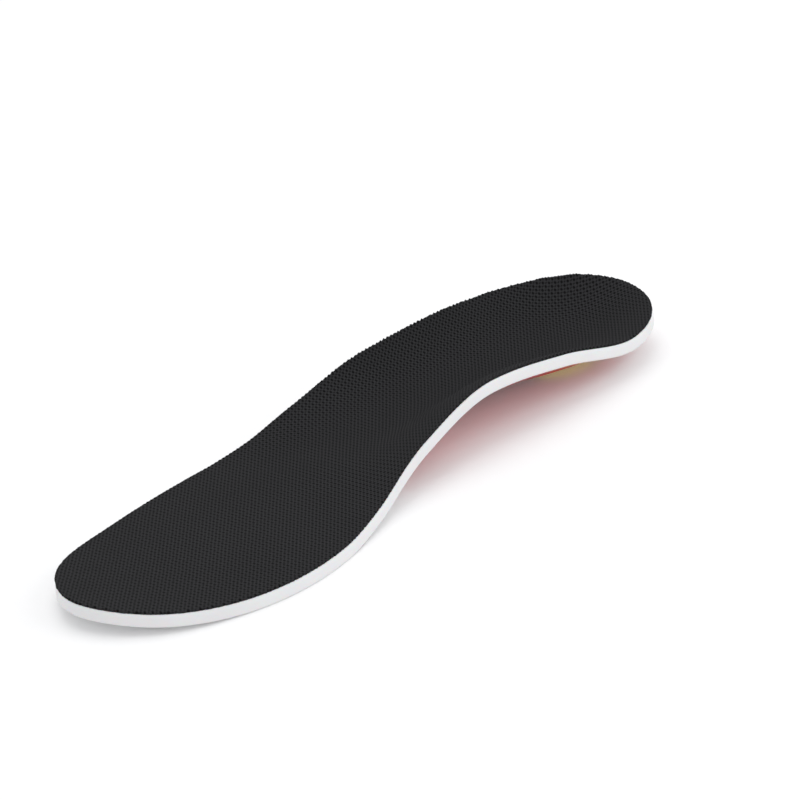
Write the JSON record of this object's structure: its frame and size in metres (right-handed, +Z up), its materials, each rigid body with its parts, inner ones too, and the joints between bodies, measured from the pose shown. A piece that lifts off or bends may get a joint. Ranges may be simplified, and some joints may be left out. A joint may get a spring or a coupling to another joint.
{
  "type": "cushioned insole",
  "caption": "Full-length right-foot insole with mesh cover, foam base, moulded arch support and heel cushion, bending across the ball of the foot.",
  "frame": {"origin": "middle of the insole's plan box, on the surface that it lies on", "axes": "+Z up, toes towards -Y, heel towards +Y, inner (arch) side towards +X"},
  "size_m": [0.0842, 0.27, 0.0262],
  "materials": {
    "cover_mesh": "black perforated mesh",
    "foam": "white closed-cell foam, matt",
    "shell": "glossy moulded red plastic",
    "pad": "soft yellow cushion, matt",
    "ink": "grey print"
  },
  "bodies": {
    "rearfoot": {"top_cover_rear": "cover_mesh", "foam_base_rear": "foam", "support_shell": "shell", "heel_pad": "pad"},
    "forefoot": {"top_cover_forefoot": "cover_mesh", "foam_base_forefoot": "foam", "trim_lines_solid": "ink", "trim_lines_dashed": "ink", "size_marks": "ink"}
  },
  "joints": [
    {"name": "ball_flex", "type": "hinge", "parent": "rearfoot", "child": "forefoot", "pos_m": [-0.00016, -0.047, 0.0057], "axis": [-0.9624, 0.2717, 0], "range_deg": [0, 45], "stiffness_Nm_per_rad": 0.3}
  ]
}
